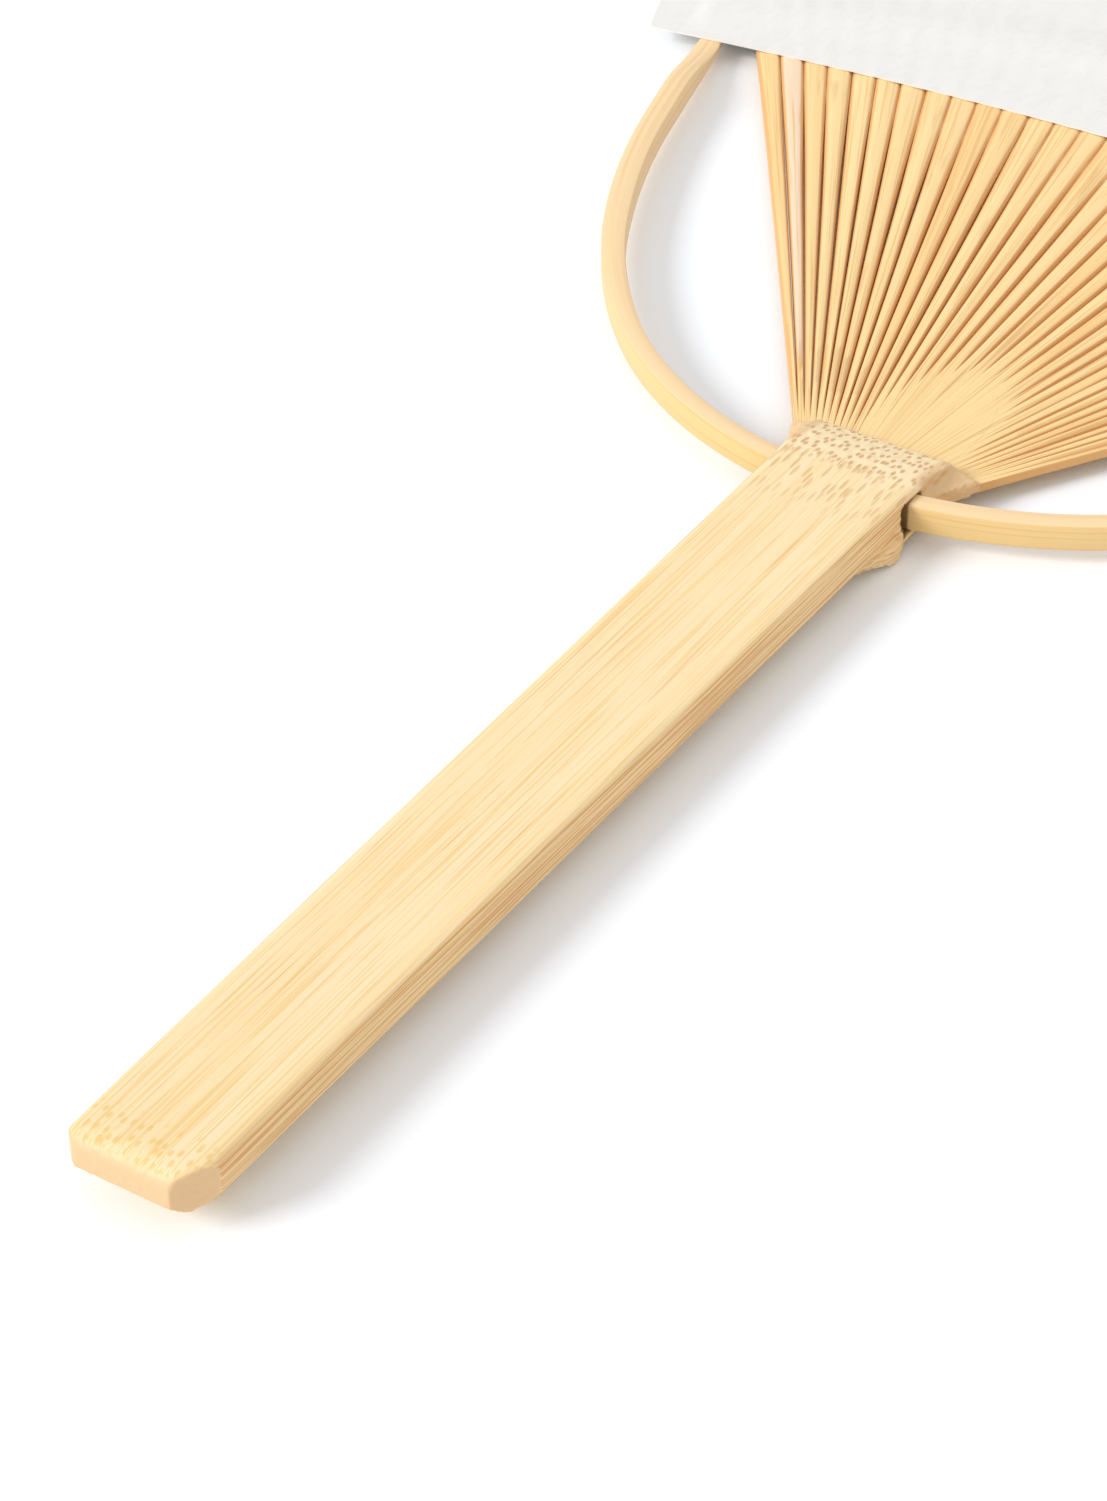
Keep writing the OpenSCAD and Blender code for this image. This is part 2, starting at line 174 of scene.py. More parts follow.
def facingOf(tree):
    return axesOf(tree, put(tree, "ShaderNodeTexCoord").outputs["Normal"])


# the grain attribute runs across the fibres, along them, and up, in metres
def grainOf(tree):
    return put(tree, "ShaderNodeAttribute", attribute_name="grain").outputs["Vector"]


def toneOf(tree):
    return put(tree, "ShaderNodeAttribute", attribute_name="tone").outputs["Fac"]


def startMaterial(name, roughness, specular):
    material = bpy.data.materials.new(name)
    material.use_nodes = True
    tree = material.node_tree
    shader = tree.nodes["Principled BSDF"]
    shader.inputs["Roughness"].default_value = roughness
    shader.inputs["Specular IOR Level"].default_value = specular
    return material, tree, shader


def finishMaterial(tree, shader, color, height, depth):
    tree.links.new(color, shader.inputs["Base Color"])
    bump = put(tree, "ShaderNodeBump", {"Height": height, "Distance": depth, "Strength": 0.6})
    tree.links.new(bump.outputs[0], shader.inputs["Normal"])


handleTones = {
    "cream": (253, 230, 186), "warmCream": (252, 223, 171), "fibre": (243, 203, 127),
    "darkFibre": (230, 178, 100), "side": (254, 219, 162), "sideFibre": (226, 170, 108),
    "head": (255, 232, 188), "pit": (212, 150, 92), "longPit": (230, 182, 120),
    "shoulder": (226, 180, 124), "gap": (116, 78, 44), "buttDot": (240, 196, 112), "endFace": (238, 197, 150),
}
# where each mark fades in, in metres: along from the slot, sideways from the middle line, or up from the floor
handleMarks = {
    "headAlong": (-0.001, 0.003), "headUp": (0.0034, 0.0039), "pitSideways": (0.0094, 0.0088),
    "runStart": (-0.013, -0.003), "runEnd": (0.004, 0.001),
    "shoulderSideways": (0.0078, 0.0088), "shoulderAlong": (0.002, 0.0034),
    "gapStart": (-0.0025, -0.0021), "gapEnd": (0.003, 0.0027), "gapTop": (0.0064, 0.0061),
    "gapFloor": (0.0019, 0.0022), "buttAlong": (-0.1365, -0.139),
}


def makeHandleBamboo():
    material, tree, shader = startMaterial("handleBamboo", 0.46, 0.32)
    grain = grainOf(tree)
    across, along, up = axesOf(tree, grain)
    facing = facingOf(tree)
    sideways = absolute(tree, across)

    def at(place, mark):
        return fade(tree, place, *handleMarks[mark])

    # the flat faces: two creams and three kinds of fibre
    fine = cloud(tree, stretch(tree, grain, (3300, 40, 1500)), 2.0, 0.55)
    long = cloud(tree, stretch(tree, grain, (2700, 19, 1500), (3, 1, 2)))
    dark = cloud(tree, stretch(tree, grain, (3500, 32, 1900), (7, 2, 5)))
    soft = cloud(tree, stretch(tree, grain, (260, 10, 240)))
    top = blend(tree, fade(tree, soft, 0.3, 0.8), linear(handleTones["cream"]), linear(handleTones["warmCream"]))
    top = paint(tree, top, handleTones["fibre"], fade(tree, fine, 0.53, 0.64), 0.55)
    top = paint(tree, top, handleTones["fibre"], fade(tree, long, 0.58, 0.63), 0.6)
    top = paint(tree, top, handleTones["darkFibre"], fade(tree, dark, 0.63, 0.68), 0.6)

    # the long sides, with stronger lines
    sideLines = cloud(tree, stretch(tree, grain, (1800, 26, 4200), (5, 5, 5)), 3.0, 0.6)
    sideLines = fade(tree, sideLines, 0.46, 0.6)
    side = blend(tree, sideLines, linear(handleTones["side"]), linear(handleTones["sideFibre"]))
    isSide = fade(tree, absolute(tree, facing[1]), 0.5, 0.2)
    isSide = times(tree, isSide, fade(tree, absolute(tree, facing[2]), 0.98, 0.7))
    color = blend(tree, isSide, top, side)

    # round pits on the head, and long ones on the slope below it
    isHead = times(tree, at(along, "headAlong"), at(up, "headUp"), fade(tree, facing[2], 0.02, 0.4))
    pits = dots(tree, stretch(tree, grain, (1150, 520, 620)), 0.35, 0.92)
    headPits = times(tree, isHead, pits, at(sideways, "pitSideways"))
    color = paint(tree, color, handleTones["head"], isHead, 0.8)
    color = paint(tree, color, handleTones["pit"], headPits, 0.72)
    longPits = dots(tree, stretch(tree, grain, (1350, 210, 500), (1, 2, 3)), 0.36, 0.75)
    isRun = times(tree, at(along, "runStart"), at(along, "runEnd"))
    runPits = times(tree, isRun, longPits, fade(tree, facing[2], 0.5, 0.9))
    color = paint(tree, color, handleTones["longPit"], runPits, 0.6)

    # the head's shoulders, and the shade inside the slot
    isShoulder = times(tree, at(sideways, "shoulderSideways"), at(along, "shoulderAlong"))
    color = paint(tree, color, handleTones["shoulder"], isShoulder, 0.6)
    isGap = times(tree, at(along, "gapStart"), at(along, "gapEnd"), at(up, "gapTop"), at(up, "gapFloor"))
    color = paint(tree, color, handleTones["gap"], isGap, 0.85)

    # the butt: dots on top of its edge, and the paler cut face
    isButt = at(along, "buttAlong")
    buttDots = dots(tree, stretch(tree, grain, (1000, 520, 700), (2, 2, 2)), 0.35, 0.85)
    buttDots = times(tree, isButt, fade(tree, facing[2], 0.8, 0.97), buttDots)
    color = paint(tree, color, handleTones["buttDot"], buttDots, 0.6)
    isEnd = times(tree, fade(tree, facing[1], -0.2, -0.5), fade(tree, facing[2], 0.97, 0.6), isButt)
    color = paint(tree, color, handleTones["endFace"], isEnd, 0.9)

    allPits = calc(tree, "ADD", headPits, runPits)
    height = calc(tree, "SUBTRACT", times(tree, fine, 0.25), times(tree, allPits, 0.6))
    finishMaterial(tree, shader, color, height, 0.00022)
    return material


ribTones = {
    "flat": (255, 223, 162), "deep": (253, 212, 147), "pale": (253, 226, 196), "fibre": (234, 184, 114),
    # side is partly the split faces' own brown and partly painted shade of the narrow gaps between the ribs
    "side": (232, 180, 118), "stain": (196, 134, 76),
    "streaksAlong": (0.09, 0.035), "streaksAcross": (-0.04, 0.03),  # in metres of the grain
}


def makeRibBamboo():
    material, tree, shader = startMaterial("ribBamboo", 0.5, 0.3)
    grain = grainOf(tree)
    across, along = axesOf(tree, grain)[:2]
    tone = toneOf(tree)
    fine = cloud(tree, stretch(tree, grain, (2600, 26, 1500)), 3.0, 0.6)
    color = blend(tree, fade(tree, tone, 0.0, 0.8), linear(ribTones["flat"]), linear(ribTones["deep"]))
    color = paint(tree, color, ribTones["pale"], fade(tree, tone, 0.85, 0.95))
    color = paint(tree, color, ribTones["fibre"], fade(tree, fine, 0.5, 0.66), 0.7)
    stain = cloud(tree, stretch(tree, grain, (600, 60, 600), (4, 4, 4)), 2.0)
    color = paint(tree, color, ribTones["stain"], fade(tree, stain, 0.62, 0.72), 0.22)
    # brown streaks near the root, more of them to the right
    streak = cloud(tree, stretch(tree, grain, (900, 16, 900), (8, 3, 1)), 3.0, 0.6)
    streak = times(tree, fade(tree, streak, 0.56, 0.66), fade(tree, along, *ribTones["streaksAlong"]))
    toRight = fade(tree, across, *ribTones["streaksAcross"])
    streak = times(tree, streak, calc(tree, "ADD", toRight, 0.6))
    color = paint(tree, color, ribTones["stain"], streak, 0.45)
    # the sides and rounded edges of each rib turn brown: partly the split faces' own tone, partly painted shade of
    # the gaps between the ribs
    sideToneAndShade = fade(tree, absolute(tree, facingOf(tree)[2]), 0.985, 0.85)
    color = paint(tree, color, ribTones["side"], sideToneAndShade)
    finishMaterial(tree, shader, color, fine, 0.0001)
    return material


# gap is painted shade: the dark tone laid on the bow where it runs inside the handle's slot
bowTones = {
    "skin": (238, 203, 140), "skinFibre": (221, 181, 112), "cut": (251, 218, 169), "cutFibre": (238, 195, 137),
    "gap": (110, 72, 40), "slotShadeReach": (0.0097, 0.0093),  # in metres from the slot's middle
}


def makeBowBamboo(name, main, fibre, rough):
    material, tree, shader = startMaterial(name, rough, 0.4)
    grain = grainOf(tree)
    fine = cloud(tree, stretch(tree, grain, (1900, 14, 1900)))
    fibres = times(tree, fade(tree, fine, 0.5, 0.68), 0.6)
    color = blend(tree, fibres, linear(bowTones[main]), linear(bowTones[fibre]))
    # painted shade on the bow inside the slot, where the handle keeps the light off it
    shadeInSlot = fade(tree, absolute(tree, axesOf(tree, grain)[1]), *bowTones["slotShadeReach"])
    color = paint(tree, color, bowTones["gap"], shadeInSlot, 0.85)
    finishMaterial(tree, shader, color, fine, 0.00006)
    return material


paperTones = {"white": (241, 239, 236), "fibre": (238, 235, 231)}


def makeLeafPaper():
    material, tree, shader = startMaterial("leafPaper", 0.85, 0.2)
    place = put(tree, "ShaderNodeTexCoord").outputs["Object"]
    fibres = cloud(tree, stretch(tree, place, (900, 500, 900)), 4.0, 0.6)
    color = blend(tree, fade(tree, fibres, 0.4, 0.7), linear(paperTones["white"]), linear(paperTones["fibre"]))
    finishMaterial(tree, shader, color, fibres, 0.000006)
    return material


threadTones = {"cotton": (236, 232, 222), "twist": (214, 206, 190)}


def makeThreadCotton():
    material, tree, shader = startMaterial("threadCotton", 0.9, 0.15)
    place = put(tree, "ShaderNodeTexCoord").outputs["Object"]
    values = {"Vector": stretch(tree, place, (900, 900, 900)), "Scale": 1.0, "Distortion": 1.0}
    twist = put(tree, "ShaderNodeTexWave", values).outputs[1]
    color = blend(tree, twist, linear(threadTones["twist"]), linear(threadTones["cotton"]))
    finishMaterial(tree, shader, color, twist, 0.00004)
    return material


handleBamboo = makeHandleBamboo()
ribBamboo = makeRibBamboo()
bowSkin = makeBowBamboo("bowSkin", "skin", "skinFibre", 0.38)
bowCut = makeBowBamboo("bowCut", "cut", "cutFibre", 0.5)
leafPaper = makeLeafPaper()
threadCotton = makeThreadCotton()
print("materials ready")


def setGrain(piece, grains, tones):
    mesh = piece.data
    grainData = mesh.attributes.new("grain", "FLOAT_VECTOR", "POINT")
    grainData.data.foreach_set("vector", [c for g in grains for c in g])
    toneData = mesh.attributes.new("tone", "FLOAT", "POINT")
    toneData.data.foreach_set("value", tones)


def recalcNormals(piece):
    pickOnly(piece)
    bpy.ops.object.mode_set(mode="EDIT")
    bpy.ops.mesh.select_all(action="SELECT")
    bpy.ops.mesh.remove_doubles(threshold=0.004 * mm)
    bpy.ops.mesh.normals_make_consistent(inside=False)
    bpy.ops.object.mode_set(mode="OBJECT")


# a straight bar along y from 0 to 1, its long edges rounded, cut into sections
def makeBar(name, width, height, edge, sections):
    bpy.ops.object.select_all(action="DESELECT")
    bpy.ops.mesh.primitive_cube_add(size=1, location=(0, 0.5, 0))
    bar = newPiece(name)
    bpy.ops.object.mode_set(mode="EDIT")
    bpy.ops.transform.resize(value=(width, 1, height), center_override=(0, 0.5, 0))
    bpy.ops.mesh.select_mode(type="EDGE")
    bpy.ops.mesh.select_all(action="DESELECT")
    bpy.ops.object.mode_set(mode="OBJECT")
    verts = bar.data.vertices
    for line in bar.data.edges:
        line.select = abs(verts[line.vertices[0]].co.y - verts[line.vertices[1]].co.y) > 0.5
    bpy.ops.object.mode_set(mode="EDIT")
    bpy.ops.mesh.bevel(offset=edge, offset_type="OFFSET", segments=2, affect="EDGES")
    for cut in range(1, sections):
        bpy.ops.mesh.select_all(action="SELECT")
        bpy.ops.mesh.bisect(plane_co=(0, cut / sections, 0), plane_no=(0, 1, 0))
    bpy.ops.object.mode_set(mode="OBJECT")
    bar.data.transform(Matrix.Translation(bar.location))
    bar.location = (0, 0, 0)
    return bar


# the ribs and the splits between them run on lines from one common point behind the head
def ribSlope(index):
    return (index + 0.5 - fan["ribCount"] / 2) * pitchSlope


def slitX(slit, y):
    return (slit - fan["ribCount"] / 2) * pitchSlope * (y + fan["spreadBack"])


def rootY(slit):
    u = (slit - fan["ribCount"] / 2 - fan["tongueShift"]) / fan["tongueRibs"]
    return fan["headLength"] + fan["rootLip"] + fan["tongueLength"] * max(0, 1 - u * u)


# where the line x = slope * (y + spreadBack) + across meets a circle round (0, middle)
def lineHit(slope, across, middle, radius):
    base = slope * (fan["spreadBack"] + middle) + across
    a, b, c = 1 + slope * slope, slope * base, base * base - radius * radius
    return middle + (-b + math.sqrt(b * b - a * c)) / a


def rimY(slope, across):
    return lineHit(slope, across, leafMiddle, fan["leafRadius"] - fan["ribInset"])


def polarGrain(x, y, z):
    meanReach = 0.09  # turns the angle into metres across the fibres
    return math.atan2(x, y + fan["spreadBack"]) * meanReach, math.hypot(x, y + fan["spreadBack"]) * mm, z * mm


plateLook = {
    "inHead": 0.4, "perRib": 12, "rows": 16, "tone": 0.12,
    "groove": 0.05, "grooveFrom": 0.6, "grooveStray": 0.3, "grooveHalf": (0.04, 0.08),
}


# how deep the split between two ribs runs on into the root plate
def plateGroove(k, y):
    line = round(k)
    start = plateLook["grooveFrom"] + plateLook["grooveStray"] * noise.noise(Vector((line * 5.7, 1.3, 2.9)))
    along = (y - fan["headLength"]) / (rootY(k) - fan["headLength"])
    onLine = 1 - smoothStep(abs(k - line), *plateLook["grooveHalf"])
    return plateLook["groove"] * smoothStep(along, start, 1) * onLine


def makePlate():
    bpy.ops.object.select_all(action="DESELECT")
    columns = fan["ribCount"] * plateLook["perRib"]
    bpy.ops.mesh.primitive_grid_add(x_subdivisions=columns, y_subdivisions=plateLook["rows"], size=2)
    plate = newPiece("rootPlate")
    bpy.ops.object.mode_set(mode="EDIT")
    bpy.ops.mesh.select_all(action="SELECT")
    bpy.ops.mesh.extrude_region_move(TRANSFORM_OT_translate={"value": (0, 0, 1)})
    bpy.ops.object.mode_set(mode="OBJECT")
    startY = fan["headLength"] - plateLook["inHead"]
    grains = []
    for vert in plate.data.vertices:
        k = (vert.co.x + 1) / 2 * fan["ribCount"]
        y = startY + (rootY(k) - startY) * (vert.co.y + 1) / 2
        x, groove = slitX(k, y), plateGroove(k, y)
        z = fan["ribTop"] - groove if vert.co.z > 0.5 else fan["ribFloor"] + groove
        vert.co = atSlot(x, y, z)
        grains.append(polarGrain(x, y, z))
    setGrain(plate, grains, [plateLook["tone"]] * len(grains))
    recalcNormals(plate)
    plate.data.materials.append(ribBamboo)
    return plate


handleLook = {
    "voxel": 0.34, "soften": 0.5, "softenTimes": 3, "pastHead": 0.3, "restTo": 0.15, "topFrom": 7.2,
    "slotWear": 0.45, "wornY": (-2.6, -1.2), "wornZ": (2.2, 6.4), "wornFrom": 5,
    # unevenness: how fast it changes across, along and up, and how deep it goes
    "all": (1.6, 0.05, 1.6, 0.05), "head": (1.3, 0.9, 1.3, 0.12),
    "sides": (0.6, 0.12, 2.2, 0.16), "shoulders": (2.6, 0.8, 2.6, 0.16),
}


# how far the hand's work left a point of the handle from true
def handWork(x, y, z, normal):
    shares = {
        "all": 1,
        "head": smoothStep(y, 0, 5) * smoothStep(z, 3.7, 4.2),
        "sides": (1 - abs(normal.z)) * smoothStep(y, -30, -4),
        "shoulders": smoothStep(abs(x), 8.6, 9.6) * smoothStep(y, 2.4, 4),
    }
    rough = 0
    for part, share in shares.items():
        acrossPace, alongPace, upPace, depth = handleLook[part]
        rough += noise.noise(Vector((x * acrossPace, y * alongPace, z * upPace))) * depth * share
    return rough


# the frame's own solid, softened all over and worked by hand, with the root plate joined on
def makeHandle():
    pickOnly(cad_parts["handle"])
    bpy.ops.object.duplicate()
    piece = newPiece("bambooHandle")
    recalcNormals(piece)
    applyModifier(piece, "REMESH", mode="VOXEL", voxel_size=handleLook["voxel"] * mm, adaptivity=0)
    applyModifier(piece, "SMOOTH", factor=handleLook["soften"], iterations=handleLook["softenTimes"])
    bpy.ops.object.mode_set(mode="EDIT")
    bpy.ops.mesh.select_all(action="SELECT")
    cut = atSlot(0, fan["headLength"] + handleLook["pastHead"], 0)
    bpy.ops.mesh.bisect(plane_co=cut, plane_no=(0, 1, 0), clear_outer=True, use_fill=True)
    bpy.ops.object.mode_set(mode="OBJECT")
    piece.data.materials.clear()
    piece.data.materials.append(handleBamboo)
    lowY, highY = handleLook["wornY"]
    lowZ, highZ = handleLook["wornZ"]
    grains = []
    normals = [v.normal.copy() for v in piece.data.vertices]
    for vert, normal in zip(piece.data.vertices, normals):
        x, y, z = vert.co.x / mm, vert.co.y / mm - slotY, vert.co.z / mm
        grains.append((x * mm, y * mm, z * mm))
        rough = handWork(x, y, z, normal)
        if handleLook["restTo"] < z < handleLook["topFrom"]:
            vert.co += normal * rough * mm
        elif z >= handleLook["topFrom"]:
            vert.co -= normal * abs(rough) * mm
        # the slot is worn wider where the bow comes out
        if normal.y > 0.5 and lowY < y < highY and lowZ < z < highZ and abs(x) > handleLook["wornFrom"]:
            vert.co.y -= handleLook["slotWear"] * mm
    setGrain(piece, grains, [0] * len(grains))
    pickOnly(makePlate(), piece)
    bpy.ops.object.join()
    putDown(piece, "handle", 50)


# ranges are in millimetres of y from the slot, or from the rib's own start where they say so
ribLook = {
    "edge": 0.34, "sections": 60, "rootDense": 1.25, "inPlate": 0.3, "underPlate": 0.03,
    "seenWidth": 3.12, "seenTo": (125, 96), "edgeGrowth": 0.34, "edgeFrom": (84, 95), "edgeTo": (108, 98),
    "lowGrowth": 0.3, "shoulder": 0.3, "shoulderFrom": (62, 92), "closedFill": 0.98, "mostFill": 0.99,
    "lean": 0.12, "drop": 0.12, "swell": 0.05, "sway": 0.04, "moreSway": 0.03, "swayRight": (18, 26),
    "calm": 0.7, "calmFrom": (70, 90), "tones": [0.05, 0.2, 0.4, 0.6, 0.15, 0.5], "paleRib": 1, "paleTone": 0.93,
    "leftSplits": 10, "rightSplits": 23, "leftShift": -7, "middleShift": -3, "soonShift": -5, "lateShift": (2, 10),
    "splitStray": (0, 6), "splitLength": 14,
}

# how far past the root each split opens: at once on the left, by turns sooner and later on the right
splitStarts = []
for slit in range(fan["ribCount"] + 1):
    shift = random.uniform(*ribLook["lateShift"]) if slit % 2 else ribLook["soonShift"]
    if slit <= ribLook["rightSplits"]:
        shift = ribLook["leftShift"] if slit < ribLook["leftSplits"] else ribLook["middleShift"]
    splitStarts.append(random.uniform(*ribLook["splitStray"]) + shift)


def stillClosed(slit, y):
    if slit in (0, fan["ribCount"]):
        return 0
    start = rootY(slit) + splitStarts[slit]
    return smoothStep(y, start + ribLook["splitLength"], start)


# half of a rib's width: wider where it shows, and wider still where the paper's edge crosses it
def halfRibAt(y, seen):
    atPaper = smoothStep(y, *ribLook["edgeFrom"]) * smoothStep(y, *ribLook["edgeTo"])
    growth = (ribLook["seenWidth"] - fan["ribWidth"]) * seen
    return (fan["ribWidth"] + growth + ribLook["edgeGrowth"] * atPaper) / 2


# 0 on top and 1 at the bottom, and near the paper 1 from the rounded shoulder down
def depthInRib(h, y):
    below = 0.5 - h / ribThick
    return below + (min(1, below / ribLook["shoulder"]) - below) * smoothStep(y, *ribLook["shoulderFrom"])


def placeRib(bar, index):
    slope = ribSlope(index)
    leftY, rightY = rootY(index) - ribLook["inPlate"], rootY(index + 1) - ribLook["inPlate"]
    leftX, rightX = slitX(index, leftY), slitX(index + 1, rightY)
    gap = fan["rootGap"] / 2
    swayDepth = ribLook["sway"] + ribLook["moreSway"] * smoothStep(index, *ribLook["swayRight"])
    lean = random.uniform(-ribLook["lean"], ribLook["lean"])
    drop = random.uniform(0.0, ribLook["drop"])
    tone = ribLook["paleTone"] if index == ribLook["paleRib"] else random.choice(ribLook["tones"])
    grains, tones = [], []
    for vert in bar.data.vertices:
        s, t, h = vert.co.x / (fan["ribWidth"] / 2), vert.co.y, vert.co.z
        share = gap + (1 - 2 * gap) * (s + 1) / 2
        startX, startY = leftX + (rightX - leftX) * share, leftY + (rightY - leftY) * share
        endY = rimY(slope, s * fan["ribWidth"] / 2)
        y = startY + (endY - startY) * t ** ribLook["rootDense"]
        centre = slope * (y + fan["spreadBack"])
        halfPitch = pitchSlope * (y + fan["spreadBack"]) / 2
        seen = smoothStep(y, *ribLook["seenTo"])
        halfRib, below = halfRibAt(y, seen), depthInRib(h, y)
        if y < fan["leafEdge"]:
            part = (y - startY) / (fan["leafEdge"] - startY)
            leafX = slope * (fan["leafEdge"] + fan["spreadBack"]) + s * halfRib
            x = startX + (leafX - startX) * part
            halfWidth = (1 - part) * (0.5 - gap) * pitchSlope * (startY + fan["spreadBack"]) + part * halfRib
            closed = stillClosed(index if s < 0 else index + 1, y)
            growth = 1 + closed * max(0, halfPitch * ribLook["closedFill"] / halfWidth - 1)
            growth *= 1 + ribLook["lowGrowth"] * below
            offset = (x - centre) * growth
            x = centre + math.copysign(min(abs(offset), ribLook["mostFill"] * halfPitch), offset)
        else:
            x = centre + s * halfRib * (1 + ribLook["lowGrowth"] * below * seen)
        # each rib swells and sways in its own way, less near the paper
        calm = 1 - ribLook["calm"] * smoothStep(y, *ribLook["calmFrom"])
        swell = noise.noise(Vector((index * 3.1, y * 0.05, 9.4))) * ribLook["swell"]
        swell *= smoothStep(y, startY + 25, startY + 40) * calm
        sway = noise.noise(Vector((index * 7.3, y * 0.035, 1.7))) * swayDepth * halfPitch
        sway *= smoothStep(y, startY + 20, startY + 40) * calm
        x = centre + (x - centre) * (1 + swell * seen) + sway * seen
        # its long edges are sharp at the root, and it lies a little lower there, so that no seam shows
        fromRoot = smoothStep(y, startY + 1, startY + 10)
        level = math.copysign(ribThick / 2, h) * (1 - fromRoot) + h * fromRoot
        free = smoothStep(y, startY, startY + 18) * seen
        z = ribMiddle + level - (drop + abs(lean)) * free * 0.5 + s * lean * free
        z -= ribLook["underPlate"] * smoothStep(y, startY + 2, startY)
        vert.co = atSlot(x, y, z)
        grains.append(polarGrain(x, y, z))
        tones.append(plateLook["tone"] + (tone - plateLook["tone"]) * smoothStep(y, startY, startY + 16))
    setGrain(bar, grains, tones)
    bar.data.materials.append(ribBamboo)
    putDown(bar, "rib_%02d" % (index + 1), 50)


def makeRibs():
    first = makeBar("ribStrip01", fan["ribWidth"], ribThick, ribLook["edge"], ribLook["sections"])
    strips = [first]
    for index in range(1, fan["ribCount"]):
        pickOnly(first)
        bpy.ops.object.duplicate()
        strips.append(newPiece("ribStrip%02d" % (index + 1)))
    for index, strip in enumerate(strips):
        placeRib(strip, index)


# bends are radius and heading in degrees; the tie is where the thread is wound on the right end
bowLook = {
    "tipWidth": 2.2, "tipY": 106.869, "tie": (75.779, 100.576), "bends": [(57.823, 46), (86, 64), (145, 75.5)],
    "shave": (74, 91), "narrow": (89, 98), "armGrowth": 0.2, "growFrom": (40, 85), "edge": 0.45, "sections": 200,
    "wobble": 0.12, "waves": 0.1, "wavesDown": 0.05, "pastSlot": (12, 25), "bareTo": (90, 80), "lengthStep": 0.25,
}
endHeading = math.radians(bowLook["bends"][-1][1])


# the bow's middle line at a length from the slot: point and heading
def bowPoint(length):
    x = y = heading = 0.0
    left = abs(length)
    for radius, toAngle in bowLook["bends"]:
        turn = min(left / radius, math.radians(toAngle) - heading)
        x += radius * (math.sin(heading + turn) - math.sin(heading))
        y += radius * (math.cos(heading) - math.cos(heading + turn))
        heading += turn
        left -= radius * turn
        if left <= 1e-9:
            break
    x, y = x + left * math.cos(heading), y + left * math.sin(heading)
    if length < 0:
        return -x, y, -heading
    return x, y, heading


def bowLength():
    length = 0.0
    while bowPoint(length)[1] < bowLook["tipY"]:
        length += bowLook["lengthStep"]
    return length - bowLook["lengthStep"]


def makeBow():
    piece = makeBar("bambooBow", fan["bowWidth"], fan["bowHeight"], bowLook["edge"], bowLook["sections"])
    reach = bowLength()
    for face in piece.data.polygons:
        face.material_index = 0 if face.normal.x > 0.6 else 1  # the bamboo's skin faces out
    grains = []
    for vert in piece.data.vertices:
        across, t, up = vert.co.x, vert.co.y, vert.co.z / fan["bowHeight"] + 0.5
        length = (2 * t - 1) * reach
        x, y, heading = bowPoint(length)
        pastSlot = smoothStep(abs(length), *bowLook["pastSlot"])
        widen = 1 + bowLook["armGrowth"] * smoothStep(abs(length), *bowLook["growFrom"])
        narrow = smoothStep(y, *bowLook["narrow"])
        offset = across * (widen + (bowLook["tipWidth"] / fan["bowWidth"] - widen) * narrow)
        offset += noise.noise(Vector((length * 0.03, 2.2, 5.1))) * bowLook["wobble"] * pastSlot
        topZ = fan["ribFloor"] + fan["bowHeight"]
        topZ += (fan["ribTop"] - topZ) * smoothStep(y, *bowLook["shave"])
        bare = pastSlot * smoothStep(y, *bowLook["bareTo"])
        waves = noise.noise(Vector((length * 0.06, across, 7.7))) * bowLook["waves"] * bare
        topZ += waves - bowLook["wavesDown"] * bare
        z = fan["ribFloor"] + (topZ - fan["ribFloor"]) * up
        vert.co = atSlot(x + offset * math.sin(heading), y - offset * math.cos(heading), z)
        grains.append((across * mm, length * mm, (up * fan["bowHeight"]) * mm))
    setGrain(piece, grains, [0] * len(grains))
    piece.data.materials.append(bowSkin)
    piece.data.materials.append(bowCut)
    putDown(piece, "bow", 40)


makeHandle()
print("handle shaped")
makeRibs()
print("ribs placed")
makeBow()
print("bow bent")

leafLook = {
    "paper": 0.25, "room": 0.65, "perPitch": 6, "rows": (12, 14, 40), "cornerSlit": 21.7, "backTrim": 3,
    "threadBand": 2, "sag": 0.05, "sagFrom": (3, 9), "bead": 0.46, "beadFlank": (0.6, 8), "beadPastTie": (1.8, 5),
    "together": 0.05, "togetherFrom": (0.6, 4.5),
}


def edgeY(x, up=0.0):
    return fan["leafEdge"] + up - fan["edgeRadius"] + math.sqrt(fan["edgeRadius"] ** 2 - x * x)


# points on a ray from the ribs' common point: lower edge, thread and rim
def rayHits(slope):
    lowY = fan["leafEdge"]
    for _ in range(6):
        lowY = edgeY(slope * (lowY + fan["spreadBack"]))
    threadY = lineHit(slope, 0, threadCentre, fan["threadRadius"])
    return lowY, threadY, max(rimY(slope, 0) + fan["ribInset"], lowY)


# the bow's middle line between the papers
def tieX(y):
    return bowLook["tie"][0] + (y - bowLook["tie"][1]) / math.tan(endHeading)


# the back paper comes up to the front one where no rib and no bow lies between them
def paperRoom(x, y, side):
    if side > 0:
        return leafLook["room"]
    lastRib = ribSlope(fan["ribCount"] - 1) * (y + fan["spreadBack"]) + fan["ribWidth"] / 2
    fromBow = math.hypot(max(abs(abs(x) - tieX(y)) - bowLook["tipWidth"] / 2, 0), max(y - bowLook["tipY"], 0))
    lift = smoothStep(min(abs(x) - lastRib, fromBow), *leafLook["togetherFrom"])
    return leafLook["room"] - (2 * leafLook["room"] - leafLook["together"]) * lift


# the y of a row of the paper: the rows lie closer over the thread
def rowY(row, lowY, threadY, highY):
    lowRows, threadRows, highRows = leafLook["rows"]
    below = max(min(threadY - leafLook["threadBand"], highY), lowY)
    above = max(min(threadY + leafLook["threadBand"], highY), below)
    if row <= lowRows:
        return lowY + (below - lowY) * row / lowRows
    if row <= lowRows + threadRows:
        return below + (above - below) * (row - lowRows) / threadRows
    return above + (highY - above) * (row - lowRows - threadRows) / highRows


